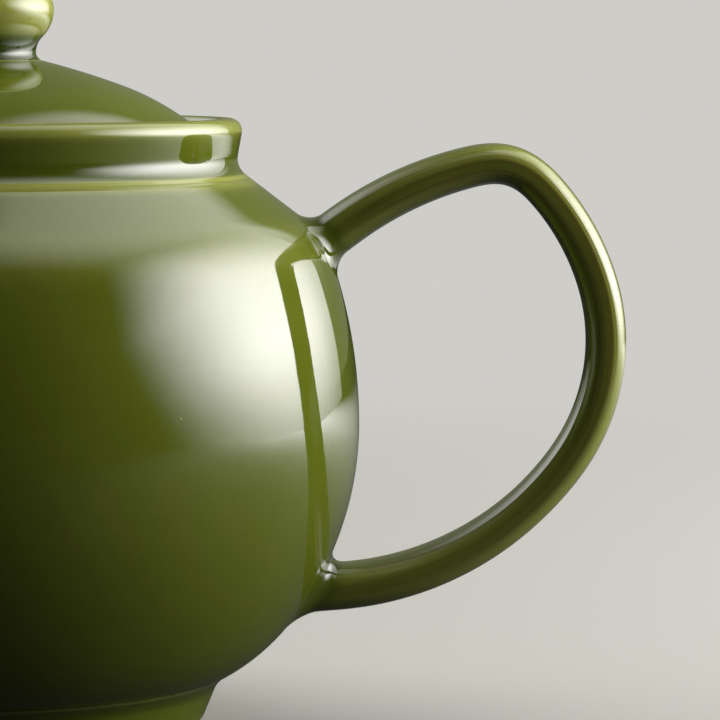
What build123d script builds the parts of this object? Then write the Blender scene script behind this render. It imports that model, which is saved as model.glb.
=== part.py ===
from build123d import *
from math import acos, asin, atan2, ceil, cos, degrees, hypot, radians, sin, tan
import os

# A glazed stoneware globe teapot. Millimetres. The origin is on the pot's axis, on the
# surface it stands on, with +Z up, the handle towards +X and the spout towards -X.

# ---- globe: the thrown body ------------------------------------------------------------
belly_radius = 73.05
belly_height = 57.7
joint_height = 105.0          # where the collar is joined on
shoulder_inset = 22.1         # from the belly's side in to the centre of the shoulder round
shoulder_drop = 21.9          # from the collar joint down to that centre
shoulder_round = 18.0
base_inset = 43.0             # from the belly's side in to the centre of the base round
base_round = 38.1
underside_height = 5.1        # the recess under the pot
globe_wall = 4.5

# ---- collar: flared lip, mouth and the gallery that the lid sits in -------------------------
mouth_radius = 46.5
collar_wall = 5.45            # thickness of the collar where it meets the globe
waist_inset = 2.55            # from the joint in to the crease between globe and collar
waist_round = 4.0
lip_rise = 7.3                # from the gallery's ledge up to the lip
lip_flare = 4.6               # how far the lip's outer corner stands out from the mouth
lip_outer_round = 2.4
lip_inner_round = 1.5
ledge_rise = 4.0              # from the joint up to the gallery's ledge
ledge_width = 6.0             # how far the ledge stands in from the mouth
ledge_round = 1.2

# ---- foot ring --------------------------------------------------------------------------
foot_inner_radius = 37.4
foot_outer_radius = 42.5      # at the bottom, before its edge is rounded
foot_splay = 22.5             # degrees that the foot's side leans out from upright
foot_outer_round = 2.5
foot_inner_round = 1.2

# ---- lid ----------------------------------------------------------------------------------
lid_gap = 1.7                 # between the lid's rim and the mouth
lid_rim_height = 3.0          # upright edge of the lid
lid_wall = 4.0
lid_seat_radius = 11.9        # flat on top, where the knob is joined on
lid_crown_slope = 14.0        # degrees below level beside the knob
lid_crown_round = 150.0
lid_crown_turn = 6.4          # degrees that the crown turns before the shoulder begins
lid_shoulder_round = 50.0
lid_edge_round = 1.0
vent_radius = 1.6
vent_distance = 24.0          # from the axis, on the lug's side

# ---- flange and lug under the lid ---------------------------------------------------------
flange_gap = 0.7              # between the flange and the gallery
flange_wall = 3.4
flange_depth = 10.0           # below the gallery's ledge
flange_round = 1.3
lug_width = 11.0
lug_height = 4.0
lug_reach = 4.0               # how far it stands out from the flange
lug_round = 1.2
notch_gap = 2.5               # round the lug where it passes the gallery

# ---- knob ---------------------------------------------------------------------------------
knob_neck_rise = 1.5          # from the knob's base up to its neck
knob_neck_radius = 11.3
knob_neck_round = 3.9
knob_flare = 46.0             # degrees out from upright where the neck runs into the head
knob_side_round = 7.4
knob_shoulder_round = 4.5
knob_shoulder_turn = 75.0

# ---- handle: a strap bent round in five tangent arcs -----------------------------------------
handle_root_drop = 9.8        # from the collar joint down to the upper root
handle_root_inset = 3.7       # from the belly's side in to the upper root
handle_heading = 37.2         # degrees above level as the strap leaves the pot
handle_bends = ((67.7, 25.65), (11.3, 56.55), (47.3, 27.8), (39.2, 52.7), (58.8, 50.3))
handle_width = 15.6
handle_thickness = 7.6
handle_flare = 1.8            # growth each way where it is joined on
handle_flare_length = 10.0
handle_root_swell = 1.0       # slow thickening towards each root
handle_swell_length = 40.0
handle_step = 6.0             # longest distance between two sections

# ---- spout: a bored, tapering tube in an easy S ---------------------------------------------
spout_root_height = 50.0
spout_root_inset = 15.0       # from the belly's side in to where its centreline starts
spout_heading = 16.0          # degrees above level as it leaves the pot
spout_bends = ((58.0, 46.0), (95.0, -14.0))
spout_tip_length = 17.6       # straight stretch up to the tip
spout_root_size = (42.0, 46.0)
spout_tip_size = (16.6, 17.0)
spout_root_wall = 4.0
spout_tip_wall = 2.4
spout_taper_power = 0.62      # under 1, so that it narrows fastest beside the pot
spout_step = 7.0
spout_tip_round = 1.0
strainer_hole_radius = 1.35
strainer_rings = ((5.0, 6), (10.0, 12))  # radius and number of holes, round one in the middle

# ---- sizes that follow ----------------------------------------------------------------------
joint_radius = mouth_radius + collar_wall
ledge_height = joint_height + ledge_rise
ledge_radius = mouth_radius - ledge_width
lip_height = ledge_height + lip_rise
shoulder_x = belly_radius - shoulder_inset
shoulder_z = joint_height - shoulder_drop
base_x = belly_radius - base_inset
base_z = underside_height + base_round
lid_rim_radius = mouth_radius - lid_gap
flange_radius = ledge_radius - flange_gap
flange_bore = flange_radius - flange_wall
flange_foot = ledge_height - flange_depth
lug_sweep = flange_radius + lug_reach + flange_gap
handle_root = (belly_radius - handle_root_inset, joint_height - handle_root_drop)
run_in = 0.45 * belly_radius  # how far the centrelines go on inside the globe


def side_round(centre_x, centre_z, radius):
    """Radius of the arc that stands upright at the belly and runs into the given round."""
    across = centre_x - belly_radius
    along = centre_z - belly_height
    return (radius**2 - across**2 - along**2) / (2 * (across + radius))


upper_round = side_round(shoulder_x, shoulder_z, shoulder_round)
lower_round = side_round(base_x, base_z, base_round)
upper_x = belly_radius - upper_round
lower_x = belly_radius - lower_round
upper_turn = atan2(shoulder_z - belly_height, shoulder_x - upper_x)
lower_turn = atan2(base_z - belly_height, base_x - lower_x)

# The shoulder ends in a cone that points at the collar joint.
joint_offset = (joint_radius - shoulder_x, joint_height - shoulder_z)
cone_turn = atan2(joint_offset[1], joint_offset[0]) - acos(shoulder_round / hypot(*joint_offset))


def polar(centre_x, centre_z, radius, angle):
    """The point at an angle in radians on a circle of the globe's outline."""
    return (centre_x + radius * cos(angle), centre_z + radius * sin(angle))


def globe_side(inset):
    """The globe's outline, from under the pot up to the collar joint, moved in by inset."""
    belly = (belly_radius - inset, belly_height)
    base_start = (base_x, underside_height + inset)
    base_end = polar(base_x, base_z, base_round - inset, lower_turn)
    base_middle = polar(base_x, base_z, base_round - inset, (lower_turn + radians(-90)) / 2)
    lower_middle = polar(lower_x, belly_height, lower_round - inset, lower_turn / 2)
    upper_middle = polar(upper_x, belly_height, upper_round - inset, upper_turn / 2)
    upper_end = polar(upper_x, belly_height, upper_round - inset, upper_turn)
    round_middle = polar(shoulder_x, shoulder_z, shoulder_round - inset, (upper_turn + cone_turn) / 2)
    round_end = polar(shoulder_x, shoulder_z, shoulder_round - inset, cone_turn)
    cone_rise = joint_height - round_end[1]
    cone_end = (round_end[0] - cone_rise * tan(cone_turn), joint_height)
    Line((0, underside_height + inset), base_start)
    ThreePointArc(base_start, base_middle, base_end)
    ThreePointArc(base_end, lower_middle, belly)
    ThreePointArc(belly, upper_middle, upper_end)
    ThreePointArc(upper_end, round_middle, round_end)
    Line(round_end, cone_end)
    return cone_end


def bend(start, heading, bends, plane=Plane.XY):
    """Tangent arcs in a row, each a radius and a turn in degrees, positive to the left."""
    tangent = plane.from_local_coords(Vector(1, 0).rotate(Axis.Z, heading))
    arcs = []
    for radius, turn in bends:
        arc = JernArc(start=start, tangent=tangent, radius=radius, arc_size=turn)
        start = arc @ 1
        tangent = arc % 1
        arcs.append(arc)
    return arcs


# The lid's dome is a wide arc beside the knob and a tighter one out to the rim.
crown_slope = radians(lid_crown_slope)
crown_end = radians(lid_crown_slope + lid_crown_turn)
lid_shoulder_x = lid_seat_radius + lid_crown_round * (sin(crown_end) - sin(crown_slope))
lid_shoulder_x -= lid_shoulder_round * sin(crown_end)


def dome_edge(inset, edge_radius):
    """The dome's slope in radians at edge_radius, on the surface moved down by inset."""
    return asin((edge_radius - lid_shoulder_x) / (lid_shoulder_round - inset))


crown_drop = lid_crown_round * (cos(crown_slope) - cos(crown_end))
lid_shoulder_drop = lid_shoulder_round * (cos(crown_end) - cos(dome_edge(0, lid_rim_radius)))
lid_top_height = ledge_height + lid_rim_height + lid_shoulder_drop + crown_drop


def lid_dome(inset, edge_radius):
    """The lid's top from the axis out to edge_radius, moved down by inset."""
    start_x = lid_seat_radius - inset * sin(crown_slope)
    start = (start_x, lid_top_height - inset * cos(crown_slope))
    rounds = (
        (lid_crown_round - inset, -lid_crown_turn),
        (lid_shoulder_round - inset, -degrees(dome_edge(inset, edge_radius) - crown_end)),
    )
    Line((0, start[1]), start)
    arcs = bend(start, -lid_crown_slope, rounds)
    return arcs[-1] @ 1


def stations(edges, step):
    """Points with their directions, evenly spaced along tangent edges, and how far along."""
    places = []
    travelled = 0
    for edge in edges:
        count = ceil(edge.length / step)
        for i in range(count):
            places.append((edge @ (i / count), edge % (i / count), travelled + edge.length * i / count))
        travelled += edge.length
    places.append((edges[-1] @ 1, edges[-1] % 1, travelled))
    return places


# ---- globe -----------------------------------------------------------------------------------
# The outer solid is used again to cut what is joined on, so that it meets the globe's face.
with BuildPart() as globe_outer:
    with BuildSketch(Plane.XZ):
        with BuildLine():
            rim = globe_side(0)
            Polyline(rim, (0, joint_height), (0, underside_height))
        make_face()
    revolve(axis=Axis.Z)

with BuildPart() as globe_cavity:
    with BuildSketch(Plane.XZ):
        with BuildLine():
            rim = globe_side(globe_wall)
            Polyline(rim, (0, joint_height), (0, underside_height + globe_wall))
        make_face()
    revolve(axis=Axis.Z)

# The centreline of the spout, from inside the globe out to the tip.
with BuildLine(Plane.XZ) as spout_path:
    start = (spout_root_inset - belly_radius, spout_root_height)
    heading = 180 - spout_heading
    bends = [(radius, -turn) for radius, turn in spout_bends]
    spout_arcs = bend(start, heading, bends, Plane.XZ)
    last = spout_arcs[-1]
    spout_arcs.append(Line(last @ 1, last @ 1 + spout_tip_length * (last % 1)))

spout_mouth = Plane(origin=spout_arcs[0] @ 0, x_dir=(0, 1, 0), z_dir=spout_arcs[0] % 0)

with BuildPart() as globe:
    add(globe_outer.part)
    add(globe_cavity.part, mode=Mode.SUBTRACT)
    # The strainer: holes pierced through the wall where the spout is joined on.
    with BuildSketch(spout_mouth):
        Circle(strainer_hole_radius)
        for ring_radius, count in strainer_rings:
            with PolarLocations(ring_radius, count):
                Circle(strainer_hole_radius)
    extrude(amount=2 * spout_root_inset, mode=Mode.SUBTRACT)
    # The lid's flange and lug have room here to drop in and turn.
    with BuildSketch(Plane.XY.offset(joint_height)):
        Circle(lug_sweep)
    extrude(amount=flange_foot - flange_gap - joint_height, mode=Mode.SUBTRACT)

globe.part.label = "globe"

# ---- collar ----------------------------------------------------------------------------------
waist_rise = waist_inset / tan(cone_turn)
waist = (joint_radius - waist_inset, joint_height + waist_rise)
lip_corner = (mouth_radius + lip_flare, lip_height)
lip_lean = atan2(lip_corner[0] - waist[0], lip_corner[1] - waist[1])
crease_turn = cone_turn + lip_lean
# The crease's round has to end on the short slope between the joint and the waist.
crease_limit = hypot(waist_inset, waist_rise) / tan(crease_turn / 2)
# The lip's two rounds share its width.
lip_outer_run = lip_outer_round * tan((radians(90) + lip_lean) / 2)
lip_inner_limit = lip_flare - lip_outer_run

with BuildPart() as collar:
    with BuildSketch(Plane.XZ) as collar_section:
        with BuildLine():
            Polyline(
                (joint_radius, joint_height),
                waist,
                lip_corner,
                (mouth_radius, lip_height),
                (mouth_radius, ledge_height),
                (ledge_radius, ledge_height),
                (ledge_radius, joint_height),
                close=True,
            )
        make_face()
        corners = collar_section.vertices()
        fillet(corners.sort_by_distance(waist)[0], min(waist_round, 0.9 * crease_limit))
        corners = collar_section.vertices()
        fillet(corners.sort_by_distance(lip_corner)[0], lip_outer_round)
        corners = collar_section.vertices()
        inner_lip = corners.sort_by_distance((mouth_radius, lip_height))[0]
        fillet(inner_lip, min(lip_inner_round, 0.9 * lip_inner_limit))
        corners = collar_section.vertices()
        inner_corners = corners.sort_by(Axis.X)[:2]
        fillet(inner_corners, ledge_round)
    revolve(axis=Axis.Z)
    # The notch lets the lid's lug through the gallery.
    with BuildSketch(Plane.XY.offset(joint_height)):
        with Locations((-ledge_radius, 0)):
            Rectangle(2 * (lug_reach + notch_gap - flange_gap), lug_width + 2 * notch_gap)
    extrude(amount=ledge_height - joint_height, mode=Mode.SUBTRACT)

collar.part.label = "collar"

# ---- foot ring -------------------------------------------------------------------------------
with BuildPart() as foot_ring:
    with BuildSketch(Plane.XZ) as foot_section:
        top = 2 * underside_height
        top_radius = foot_outer_radius + top * tan(radians(foot_splay))
        with BuildLine():
            Polyline(
                (foot_inner_radius, 0),
                (foot_outer_radius, 0),
                (top_radius, top),
                (foot_inner_radius, top),
                close=True,
            )
        make_face()
        corners = foot_section.vertices()
        fillet(corners.sort_by_distance((foot_outer_radius, 0))[0], foot_outer_round)
        corners = foot_section.vertices()
        fillet(corners.sort_by_distance((foot_inner_radius, 0))[0], foot_inner_round)
    revolve(axis=Axis.Z)
    add(globe_outer.part, mode=Mode.SUBTRACT)

foot_ring.part.label = "foot_ring"

# ---- spout -----------------------------------------------------------------------------------
spout_places = stations(spout_arcs, spout_step)
spout_length = spout_places[-1][2]


def spout_size(travelled, wall_root, wall_tip):
    """Half the width and half the height of the spout, less its wall there."""
    taper = (travelled / spout_length) ** spout_taper_power
    wall = wall_root + (wall_tip - wall_root) * taper
    width = spout_root_size[0] + (spout_tip_size[0] - spout_root_size[0]) * taper
    height = spout_root_size[1] + (spout_tip_size[1] - spout_root_size[1]) * taper
    return (width / 2 - wall, height / 2 - wall)


with BuildPart() as spout_bore:
    for point, direction, travelled in spout_places:
        with BuildSketch(Plane(origin=point, x_dir=(0, 1, 0), z_dir=direction)):
            Ellipse(*spout_size(travelled, spout_root_wall, spout_tip_wall))
    loft()

with BuildPart() as spout:
    for point, direction, travelled in spout_places:
        with BuildSketch(Plane(origin=point, x_dir=(0, 1, 0), z_dir=direction)):
            Ellipse(*spout_size(travelled, 0, 0))
    loft()
    add(spout_bore.part, mode=Mode.SUBTRACT)
    fillet(spout.faces().sort_by_distance(spout_places[-1][0])[0].edges(), spout_tip_round)
    add(globe_outer.part, mode=Mode.SUBTRACT)

spout.part.label = "spout"

# ---- handle ----------------------------------------------------------------------------------
with BuildLine(Plane.XZ) as handle_path:
    bends = [(radius, -turn) for radius, turn in handle_bends]
    handle_arcs = bend(handle_root, handle_heading, bends, Plane.XZ)
    first = handle_arcs[0]
    last = handle_arcs[-1]
    first_run = Line(first @ 0 - run_in * (first % 0), first @ 0)
    last_run = Line(last @ 1, last @ 1 + run_in * (last % 1))

handle_places = stations([first_run, *handle_arcs, last_run], handle_step)
handle_length = handle_places[-1][2]


def handle_size(travelled):
    """Half the width and half the thickness of the strap, which swells towards each root."""
    from_root = min(travelled, handle_length - travelled) - run_in
    swell = handle_root_swell * max(0, 1 - max(0, from_root) / handle_swell_length)
    flare = handle_flare * min(1, max(0, 1 - from_root / handle_flare_length)) ** 2
    return ((handle_width + swell) / 2 + flare, (handle_thickness + swell) / 2 + flare)


with BuildPart() as handle:
    for point, direction, travelled in handle_places:
        with BuildSketch(Plane(origin=point, x_dir=(0, 1, 0), z_dir=direction)):
            Ellipse(*handle_size(travelled))
    loft()
    add(globe_outer.part, mode=Mode.SUBTRACT)

handle.part.label = "handle"

# ---- lid -------------------------------------------------------------------------------------
with BuildPart() as lid:
    with BuildSketch(Plane.XZ) as lid_section:
        with BuildLine():
            rim = lid_dome(0, lid_rim_radius)
            Polyline(rim, (lid_rim_radius, ledge_height), (0, ledge_height), (0, lid_top_height))
        make_face()
        corners = lid_section.vertices()
        fillet(corners.sort_by(Axis.X)[-2:], lid_edge_round)
    revolve(axis=Axis.Z)
    # The hollow under the dome goes on up from the flange's bore.
    with BuildSketch(Plane.XZ):
        with BuildLine():
            rim = lid_dome(lid_wall, flange_bore)
            hollow_top = lid_top_height - lid_wall * cos(crown_slope)
            Polyline(rim, (flange_bore, ledge_height), (0, ledge_height), (0, hollow_top))
        make_face()
    revolve(axis=Axis.Z, mode=Mode.SUBTRACT)
    # The vent.
    with BuildSketch(Plane.XY.offset(ledge_height)):
        with Locations((-vent_distance, 0)):
            Circle(vent_radius)
    extrude(amount=lid_top_height - ledge_height, mode=Mode.SUBTRACT)

lid.part.label = "lid"

# ---- flange and lug under the lid ------------------------------------------------------------
with BuildPart() as lid_flange:
    with BuildSketch(Plane.XY.offset(flange_foot)):
        Circle(flange_radius)
        Circle(flange_bore, mode=Mode.SUBTRACT)
    extrude(amount=flange_depth)
    fillet(lid_flange.faces().sort_by(Axis.Z)[0].edges(), flange_round)

lid_flange.part.label = "lid_flange"

with BuildPart() as lid_lug:
    with BuildSketch(Plane.XY.offset(flange_foot + flange_round)):
        with Locations((-flange_radius, 0)):
            Rectangle(2 * lug_reach, lug_width)
    extrude(amount=lug_height)
    fillet(lid_lug.edges().filter_by(Axis.Z).group_by(Axis.X)[0], lug_round)
    # Its back is shaped to the flange.
    with BuildSketch(Plane.XY.offset(flange_foot)):
        Circle(flange_radius)
    extrude(amount=flange_depth, mode=Mode.SUBTRACT)

lid_lug.part.label = "lid_lug"

# ---- knob ------------------------------------------------------------------------------------
with BuildPart() as knob:
    with BuildSketch(Plane.XZ):
        with BuildLine():
            neck_angle = asin(knob_neck_rise / knob_neck_round)
            foot_radius = knob_neck_radius + knob_neck_round * (1 - cos(neck_angle))
            head_turn = 90 - knob_shoulder_turn
            head_radius = (
                knob_neck_radius
                + (knob_neck_round + knob_side_round) * (1 - cos(radians(knob_flare)))
                - knob_shoulder_round * (1 - sin(radians(head_turn)))
            )
            arcs = bend(
                (foot_radius, lid_top_height),
                90 + degrees(neck_angle),
                (
                    (knob_neck_round, -degrees(neck_angle) - knob_flare),
                    (knob_side_round, knob_flare),
                    (knob_shoulder_round, knob_shoulder_turn),
                    (head_radius / sin(radians(head_turn)), head_turn),
                ),
            )
            Polyline(arcs[-1] @ 1, (0, lid_top_height), (foot_radius, lid_top_height))
        make_face()
    revolve(axis=Axis.Z)

knob.part.label = "knob"

os.makedirs("parts", exist_ok=True)
export_step(globe.part, "parts/globe.step")
export_step(collar.part, "parts/collar.step")
export_step(foot_ring.part, "parts/foot_ring.step")
export_step(spout.part, "parts/spout.step")
export_step(handle.part, "parts/handle.step")
export_step(lid.part, "parts/lid.step")
export_step(lid_flange.part, "parts/lid_flange.step")
export_step(lid_lug.part, "parts/lid_lug.step")
export_step(knob.part, "parts/knob.step")
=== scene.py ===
# %% [markdown]
# # A green glazed globe teapot
# This lesson dresses a measured teapot in Blender. The frame below holds the plain solids, in
# metres, with the pot's axis on the Z axis, the handle towards +X and the spout towards -X.
# Every piece made here takes its place and its main sizes from that frame, so nothing has to be
# fitted by eye. Most of a teapot is thrown on a wheel, so most pieces are outlines turned round
# the axis. The handle and the spout are pulled and cast on their own, and joined on with slip.

# %% Load the frame
from math import acos, asin, atan2, ceil, cos, hypot, pi, radians, sin, sqrt, tan

import bmesh
import bpy
import numpy as np
from mathutils import Matrix, Vector


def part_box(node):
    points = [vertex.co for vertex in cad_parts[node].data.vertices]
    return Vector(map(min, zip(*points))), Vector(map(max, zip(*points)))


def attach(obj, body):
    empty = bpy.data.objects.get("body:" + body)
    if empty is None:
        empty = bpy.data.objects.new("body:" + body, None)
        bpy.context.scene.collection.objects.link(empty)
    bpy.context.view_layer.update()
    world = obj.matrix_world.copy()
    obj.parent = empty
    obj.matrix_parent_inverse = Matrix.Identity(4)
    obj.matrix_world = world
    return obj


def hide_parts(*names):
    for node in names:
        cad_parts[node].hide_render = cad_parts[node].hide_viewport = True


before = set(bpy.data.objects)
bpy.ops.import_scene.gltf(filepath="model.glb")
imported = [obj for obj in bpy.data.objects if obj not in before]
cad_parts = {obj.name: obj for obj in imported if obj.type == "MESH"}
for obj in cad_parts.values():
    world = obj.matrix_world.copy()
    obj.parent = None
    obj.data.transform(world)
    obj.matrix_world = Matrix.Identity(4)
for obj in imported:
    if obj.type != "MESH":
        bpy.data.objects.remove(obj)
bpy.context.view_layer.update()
mm = 0.001
crisp_angle = radians(38)


def put(name, data):
    """Puts a new object in the scene."""
    made = bpy.data.objects.new(name, data)
    bpy.context.scene.collection.objects.link(made)
    return made


def as_mesh(shape, name):
    """Turns a shape being edited into a mesh."""
    mesh = bpy.data.meshes.new(name)
    shape.to_mesh(mesh)
    shape.free()
    return mesh


# %% [markdown]
# ## The camera
# A small object looks natural through a long lens from a little above its middle. The camera
# stands level with the knob's neck, tips down a few degrees, and looks past the belly at the
# handle, so that the glaze shows its long reflections.

# %% Camera
camera = put("camera", bpy.data.cameras.new("camera"))
camera.location = (73.2 * mm, -743 * mm, 131 * mm)
camera.rotation_euler = (radians(90 - 4.7), 0, 0)
camera.data.sensor_width = 36
camera.data.lens = 193.9
camera.data.clip_start = 10 * mm
bpy.context.scene.camera = camera
bpy.context.scene.view_settings.view_transform = "Standard"
print("camera at", [round(v, 3) for v in camera.location], "lens", camera.data.lens)

# %% [markdown]
# ## Sums in a shader
# A finish is mostly sums on numbers that change over the surface. Written as nodes one at a time
# they are hard to read, so a small class wraps a socket and lets Python's own signs make the Math
# nodes: `1 - mask` and `depth * 0.5 + noise` then mean what they say. Every other kind of node
# comes from one method, which is given its settings first and its sockets after.

# %% A socket that can be added and multiplied
class Value:
    """A number that changes over a surface: an output socket in a material."""

    def __init__(self, paint, socket):
        self.paint = paint
        self.socket = socket

    def sum(self, operation, *terms, clamp=False):
        settings = {"operation": operation, "use_clamp": clamp}
        return self.paint.node("ShaderNodeMath", settings, dict(enumerate(terms))).out()

    def __add__(self, other):
        return self.sum("ADD", self, other)

    def __sub__(self, other):
        return self.sum("SUBTRACT", self, other)

    def __rsub__(self, other):
        return self.sum("SUBTRACT", other, self)

    def __mul__(self, other):
        return self.sum("MULTIPLY", self, other)

    __radd__ = __add__
    __rmul__ = __mul__

    def between(self, low, high):
        """0 below low, 1 above high and a smooth rise from one to the other."""
        settings = {"interpolation_type": "SMOOTHSTEP"}
        sockets = {"Value": self, "From Min": low, "From Max": high}
        return self.paint.node("ShaderNodeMapRange", settings, sockets).out("Result")


class Made:
    """A node that has been made, whose outputs are taken by name or number."""

    def __init__(self, paint, node):
        self.paint = paint
        self.node = node

    def out(self, key=0):
        return Value(self.paint, self.node.outputs[key])


class Paint:
    """A node tree of a material, a light or the world, being written."""

    def __init__(self, owner):
        owner.use_nodes = True
        self.tree = owner.node_tree
        self.tree.nodes.clear()

    def node(self, kind, settings=None, sockets=None):
        """Makes a node: its settings first, then a value or a link for each socket."""
        made = self.tree.nodes.new(kind)
        for name, value in (settings or {}).items():
            setattr(made, name, value)
        for key, value in (sockets or {}).items():
            if isinstance(value, Value):
                self.tree.links.new(value.socket, made.inputs[key])
            else:
                made.inputs[key].default_value = value
        return Made(self, made)

    def place(self):
        return self.node("ShaderNodeTexCoord").out("Object")

    def axes(self, where):
        parts = self.node("ShaderNodeSeparateXYZ", None, {0: where})
        return [parts.out(axis) for axis in "XYZ"]

    def noise(self, where, size, detail=2.0, roughness=0.5):
        """Cloudy noise from 0 to 1, whose clouds are about size metres across."""
        sockets = {"Vector": where, "Scale": 1 / size, "Detail": detail, "Roughness": roughness}
        return self.node("ShaderNodeTexNoise", {"noise_dimensions": "3D"}, sockets).out(0)

    def mix(self, factor, first, second):
        """A colour that goes from first to second as factor goes from 0 to 1."""
        sockets = {0: factor, 6: first, 7: second}
        return self.node("ShaderNodeMix", {"data_type": "RGBA"}, sockets).out(2)

    def finish(self, shader, kind="ShaderNodeOutputMaterial"):
        return self.node(kind, None, {"Surface": shader})


print("shader sums ready")

# %% [markdown]
# ## Floor and backdrop
# The pot stands on a plain pale table. The table is lit like any surface near the pot, where it
# takes the pot's shadow. Further out, and all round in the world, the eye sees one even pale tone,
# so no horizon cuts across the picture. What the glaze mirrors is set apart from what the eye
# sees: a dark table with a painted glow that brightens towards the window, and a dim room with a
# pale ceiling.

# %% Floor
pale = (0.62, 0.61, 0.58, 1)
table_colour = (0.36, 0.355, 0.335, 1)
window_distance = 0.78
floor_radius = 3.0
floor_shape = bmesh.new()
bmesh.ops.create_circle(floor_shape, cap_ends=True, segments=96, radius=floor_radius)
floor_mesh = as_mesh(floor_shape, "floor")
floor = put("floor", floor_mesh)

table_paint = Paint(bpy.data.materials.new("table"))
place = table_paint.place()
distance = table_paint.node("ShaderNodeVectorMath", {"operation": "LENGTH"}, {0: place}).out("Value")
far = distance.between(0.25, 0.75)
lit = table_paint.node(
    "ShaderNodeBsdfPrincipled", None, {"Base Color": table_colour, "Specular IOR Level": 0.0}
).out()
even = table_paint.node("ShaderNodeEmission", None, {"Color": pale}).out()
shown = table_paint.node("ShaderNodeMixShader", None, {0: far, 1: lit, 2: even}).out()
x, y, z = table_paint.axes(place)
# For reflections and bounced light the table glows instead: a painted pool of window light, strongest
# towards the window and fading to the sides and far away.
nearer = x * (1 / window_distance)
nearer = nearer.sum("MAXIMUM", nearer, 0)
beyond = x.between(window_distance - 1 * mm, window_distance + 1 * mm)
sideways = y.between(-0.45, 0.3) * (1 - y.between(0.45, 1.0))
glow = nearer * nearer * (1 - beyond) * sideways * 5 + 0.02
painted_window_glow = table_paint.node("ShaderNodeEmission", None, {"Strength": glow}).out()
seen = table_paint.node("ShaderNodeLightPath").out("Is Camera Ray")
table_paint.finish(table_paint.node("ShaderNodeMixShader", None, {0: seen, 1: painted_window_glow, 2: shown}).out())
floor_mesh.materials.append(bpy.data.materials["table"])
print("floor", floor_radius, "m")

# %% World
world = bpy.data.worlds.new("room")
bpy.context.scene.world = world
room = Paint(world)
x, y, z = room.axes(room.node("ShaderNodeTexCoord").out("Generated"))
behind = y.between(-0.2, 0.95)
beside = x.between(-0.3, 0.6)
walls = room.mix(behind, (0.012, 0.013, 0.010, 1), (0.20, 0.21, 0.14, 1))
raised = z + y * 0.45
windowward = z * 0.2 + x * 1.75 - y
washed = raised.between(0.4, 1.1) * windowward.between(-0.15, 0.1)
ceiling = room.mix(beside, (0.95, 0.95, 0.91, 1), (2.6, 2.6, 2.5, 1))
dimmed = room.mix(washed, walls, ceiling)
spoutward = 1 - x.between(-0.8, -0.15)
fill = spoutward * y.between(-0.2, 0.3) * z.between(-0.05, 0.3)
dimmed = room.mix(fill, dimmed, (3.2, 3.2, 3.1, 1))
seen = room.node("ShaderNodeLightPath").out("Is Camera Ray")
shown = room.node("ShaderNodeBackground", None, {"Color": room.mix(seen, dimmed, pale)}).out()
room.finish(shown, "ShaderNodeOutputWorld")
print("room ready")

# %% [markdown]
# ## The window
# Gloss is drawn by what it mirrors, so the light matters as much as the glaze. A tall window of
# soft light stands on the handle's side. It is brightest low down in the middle and fades towards
# its edges, as cloth with a lamp behind it does, and that fade is what rounds the belly. It is a
# card that shines, see-through where it has faded, so that each edge can be given its own fade.

# %% A card that shines
window_light = (1, 0.98, 0.975, 1)


def shining_card(name, centre, across, upward, strength, fades, lean):
    """A card along two half-size vectors, which run from -1 to 1 over it.

    Each way has a fade for its low side, given as where light is full and the share that the
    edge keeps, and one for its high side, which also says where it ends. The lean slants the
    high fade across: by how much for each step up, from how far below the middle, and the
    most of that climb that counts.
    """
    mesh = bpy.data.meshes.new(name)
    corners = [(-1, -1, 0), (1, -1, 0), (1, 1, 0), (-1, 1, 0)]
    mesh.from_pydata(corners, [], [(0, 1, 2, 3)])
    card = put(name, mesh)
    facing = Vector(across).cross(Vector(upward)).normalized()
    matrix = Matrix((across, upward, facing)).transposed().to_4x4()
    matrix.translation = centre
    card.matrix_world = matrix
    card.visible_camera = False
    card.visible_shadow = False
    glow = Paint(bpy.data.materials.new(name))
    x, y, z = glow.axes(glow.place())
    level = 1 - glow.node("ShaderNodeNewGeometry").out("Backfacing")
    raised = y + lean[1]
    slide = raised.sum("MINIMUM", raised, lean[2]) * lean[0]
    for along, leaning, (low, high) in zip((x, y), (slide, 0), fades):
        level = (along.between(-1.0, low[0]) * (1 - low[1]) + low[1]) * level
        level = (1 - (along - leaning).between(high[0], high[2]) * (1 - high[1])) * level
    emission = glow.node("ShaderNodeEmission", None, {"Color": window_light, "Strength": strength}).out()
    nothing = glow.node("ShaderNodeBsdfTransparent").out()
    glow.finish(glow.node("ShaderNodeMixShader", None, {0: level, 1: nothing, 2: emission}).out())
    mesh.materials.append(bpy.data.materials[name])
    return card


window = shining_card(
    "window",
    centre=(window_distance, 0.15, 0.55),
    across=(0, -0.9, 0),
    upward=(0, 0, 0.60),
    strength=14.5,
    fades=(((0.35, 0.15), (0.0, 0, 0.9)), ((-0.55, 0.3), (-0.75, 0, 1.0))),
    lean=(0.5, 0.52, 0.2),
)
print("window", window.name)

# %% [markdown]
# ## Sizes from the frame
# The globe, the collar and the lid give the sizes that everything else hangs on. The rounds of the
# outline are the potter's own curves: a wide round below the belly and a wider one above it, a
# tight round at the shoulder, and a straight slope up to the collar.

# %% Sizes of the pot
pot_low, pot_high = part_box("globe")
collar_low, collar_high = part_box("collar")
lid_low, lid_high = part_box("lid")
belly_radius = pot_high.x
joint_height = pot_high.z
underside = pot_low.z
joint_radius = collar_high.x
lip_height = collar_high.z
belly_height = 57.7 * mm
shoulder = (belly_radius - 22.1 * mm, joint_height - 21.9 * mm)
shoulder_round = 18 * mm
base = (belly_radius - 43 * mm, underside + 38.1 * mm)
base_round = 38.1 * mm
wall = 4.5 * mm


def side_round(centre, radius):
    """Radius of the arc that stands upright at the belly and runs into the given round."""
    across = centre[0] - belly_radius
    along = centre[1] - belly_height
    return (radius**2 - across**2 - along**2) / (2 * (across + radius))


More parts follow.
